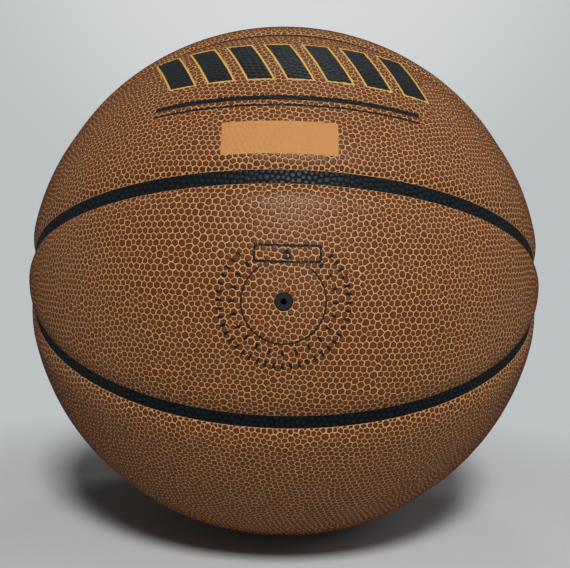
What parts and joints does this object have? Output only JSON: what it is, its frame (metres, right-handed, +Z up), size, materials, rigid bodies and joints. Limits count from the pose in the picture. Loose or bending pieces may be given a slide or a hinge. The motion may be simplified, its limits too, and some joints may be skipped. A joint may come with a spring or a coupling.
{
  "type": "basketball",
  "caption": "Basketball with pebbled brown composite panels, black inlaid channels and a needle valve, wound in layers over an air bladder.",
  "frame": {"origin": "the ball's centre", "axes": "-Y is the valve's axis, out of the ball; +Z is up as the ball was pictured; X is the line where the equator and meridian seams cross"},
  "size_m": [0.2298, 0.2304, 0.2304],
  "materials": {
    "composite_leather": "pebbled, matt",
    "channel_composite": "pebbled, satin black",
    "carcass_rubber": "moulded, matt",
    "nylon_thread": "wound thread, cemented",
    "butyl_rubber": "moulded, satin",
    "valve_rubber": "moulded, satin"
  },
  "bodies": {
    "ball": {"front_upper_panel": "composite_leather", "valve_panel": "composite_leather", "rear_lower_panel": "composite_leather", "rear_upper_panel": "composite_leather", "front_crown_panel": "composite_leather", "front_base_panel": "composite_leather", "rear_base_panel": "composite_leather", "rear_crown_panel": "composite_leather", "equator_strip": "channel_composite", "top_meridian_strip": "channel_composite", "bottom_meridian_strip": "channel_composite", "front_upper_loop_strip": "channel_composite", "front_lower_loop_strip": "channel_composite", "rear_lower_loop_strip": "channel_composite", "rear_upper_loop_strip": "channel_composite", "carcass": "carcass_rubber", "thread_winding": "nylon_thread", "bladder": "butyl_rubber", "valve_seat": "valve_rubber"},
    "valve_core": {"valve_core": "valve_rubber"}
  },
  "joints": [
    {"name": "valve_core_pull", "type": "slide", "parent": "ball", "child": "valve_core", "axis": [0, -1, 0], "range_m": [0, 0.03]}
  ]
}
